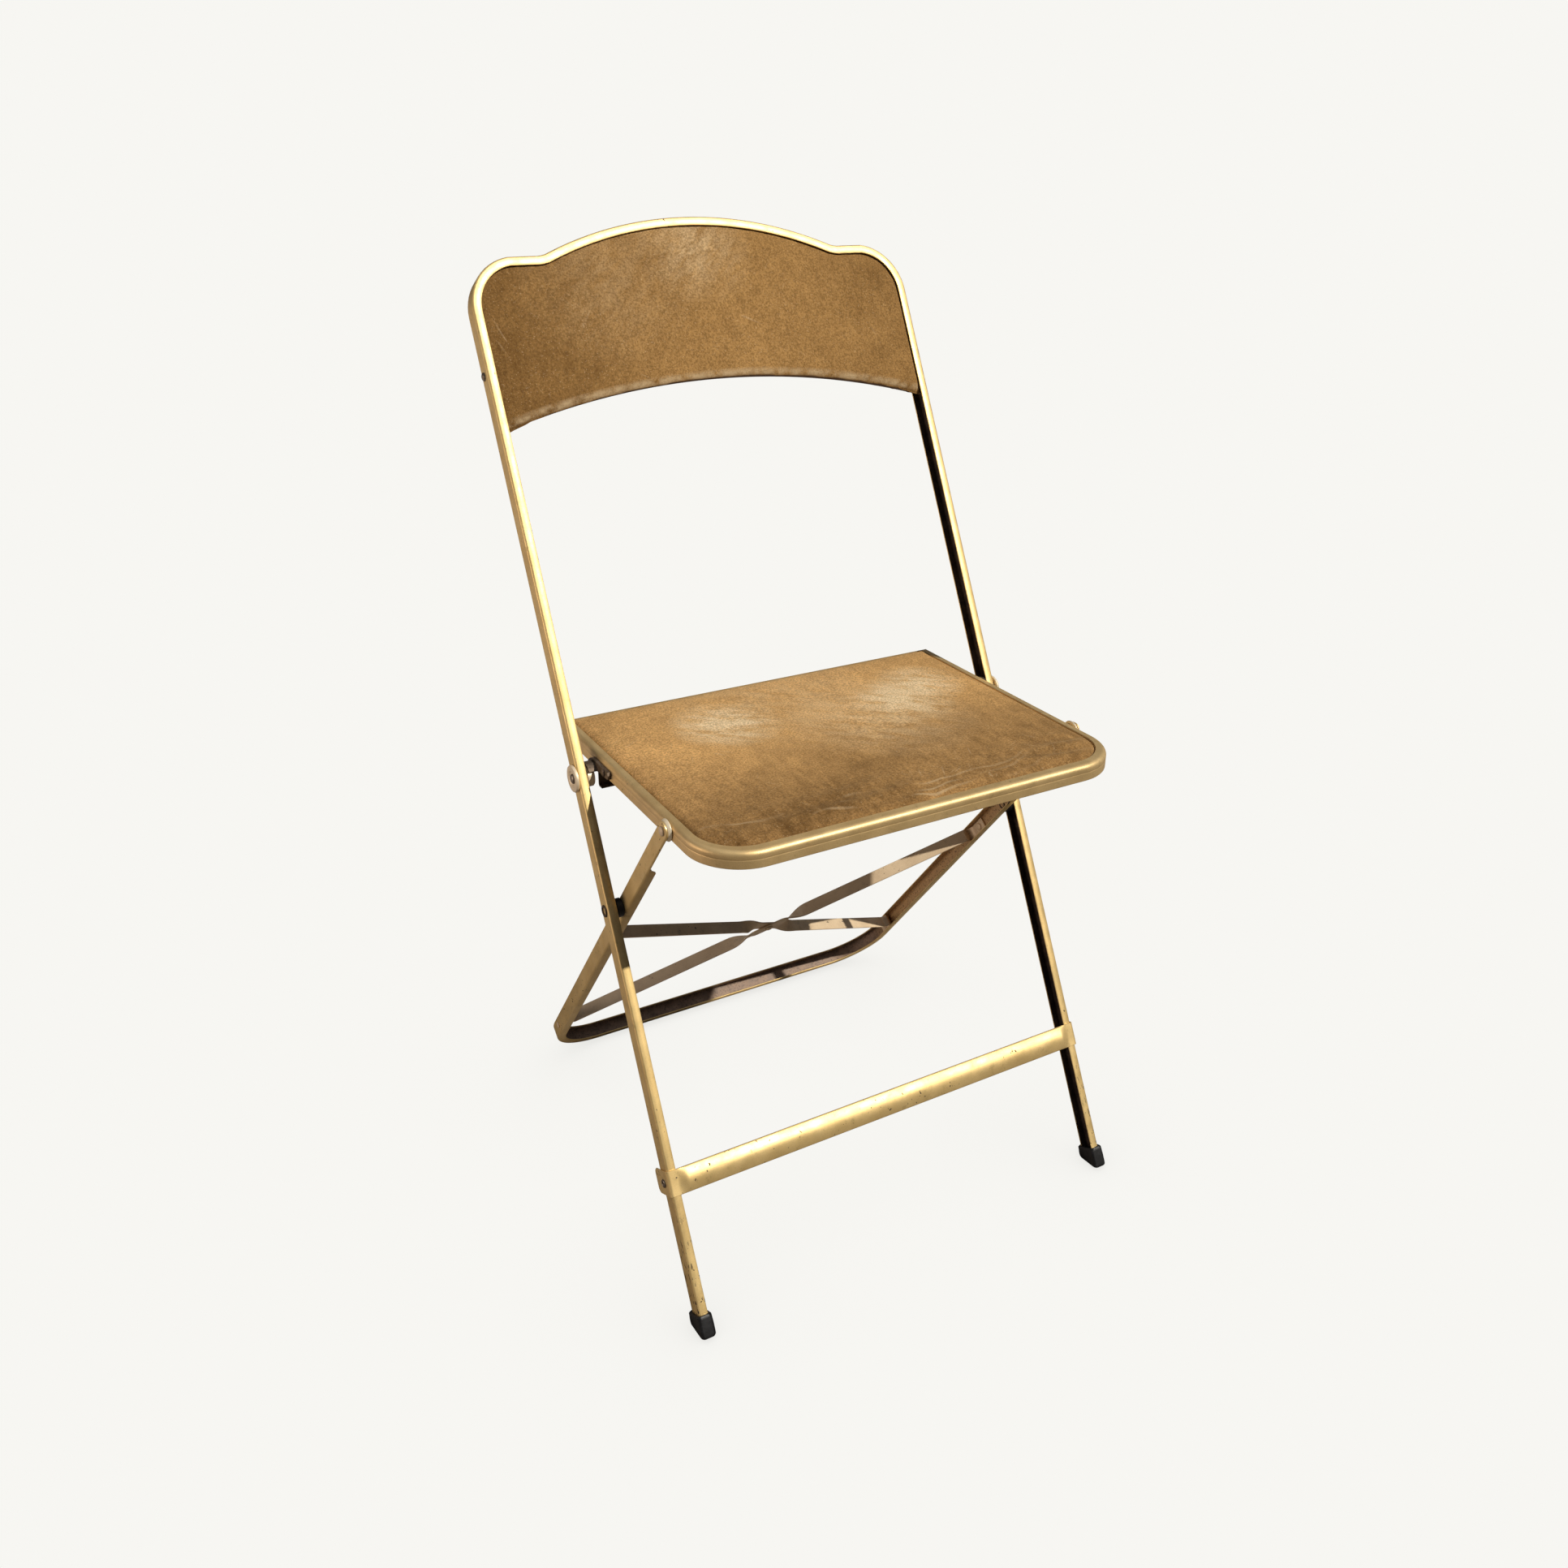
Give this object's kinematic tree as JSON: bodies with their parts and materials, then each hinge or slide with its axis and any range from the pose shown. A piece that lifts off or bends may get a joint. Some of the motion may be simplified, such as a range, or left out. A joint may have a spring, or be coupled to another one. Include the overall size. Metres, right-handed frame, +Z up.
{
  "type": "folding chair",
  "caption": "Metal folding chair with a padded seat and back panel, a bent channel frame, a hinged rear frame with a crossed brace, and a seat that folds up between the uprights.",
  "frame": {"origin": "on the floor, under the middle of the chair's bounding box", "axes": "+Z up; the chair faces -Y; +X is to the right of a viewer who faces the chair"},
  "size_m": [0.4296, 0.4925, 0.7982],
  "materials": {
    "gold": "gold-tan enamel, satin gloss, worn",
    "velvet": "brown short-pile velvet, worn",
    "board": "dark pressed board",
    "rubber": "matte black",
    "brass": "bright",
    "steel": "dull, darkened"
  },
  "bodies": {
    "main": {"back_board": "board", "back_cover": "velvet", "back_pad": "velvet", "back_screw_l": "steel", "back_screw_r": "steel", "foot_cap_l": "rubber", "foot_cap_r": "rubber", "front_stretcher": "gold", "hinge_rivet_l": "gold", "hinge_rivet_r": "gold", "hinge_spacer_l": "rubber", "hinge_spacer_r": "rubber", "main_frame": "gold", "rest_disc_l": "gold", "rest_disc_r": "gold", "rest_pin_l": "gold", "rest_pin_r": "gold", "rest_rivet_l": "steel", "rest_rivet_r": "steel", "stretcher_rivet_l": "steel", "stretcher_rivet_r": "steel"},
    "rear": {"brace_rivet_low_l": "gold", "brace_rivet_low_r": "gold", "brace_rivet_middle": "gold", "brace_rivet_top_l": "gold", "brace_rivet_top_r": "gold", "brace_strap_a": "gold", "brace_strap_b": "gold", "rear_frame": "gold"},
    "seat": {"rest_saddle_l": "gold", "rest_saddle_r": "gold", "saddle_rivet_l": "gold", "saddle_rivet_r": "gold", "seat_board": "board", "seat_crossbar": "gold", "seat_cushion": "velvet", "seat_nub_l": "gold", "seat_nub_r": "gold", "seat_rim": "gold", "seat_rivet_l": "gold", "seat_rivet_r": "gold", "seat_washer_l": "brass", "seat_washer_r": "brass"}
  },
  "joints": [
    {"name": "rear_fold", "type": "hinge", "parent": "main", "child": "rear", "pos_m": [0, -0.05371, 0.30313], "axis": [-1, 0, 0], "range_deg": [0, 65.5]},
    {"name": "seat_fold", "type": "hinge", "parent": "rear", "child": "seat", "pos_m": [0, -0.13312, 0.41782], "axis": [1, 0, 0], "range_deg": [0, 128.3]}
  ],
  "couplings": [
    {"joint": "seat_fold", "follows": "rear_fold", "ratio": 1.9582}
  ]
}
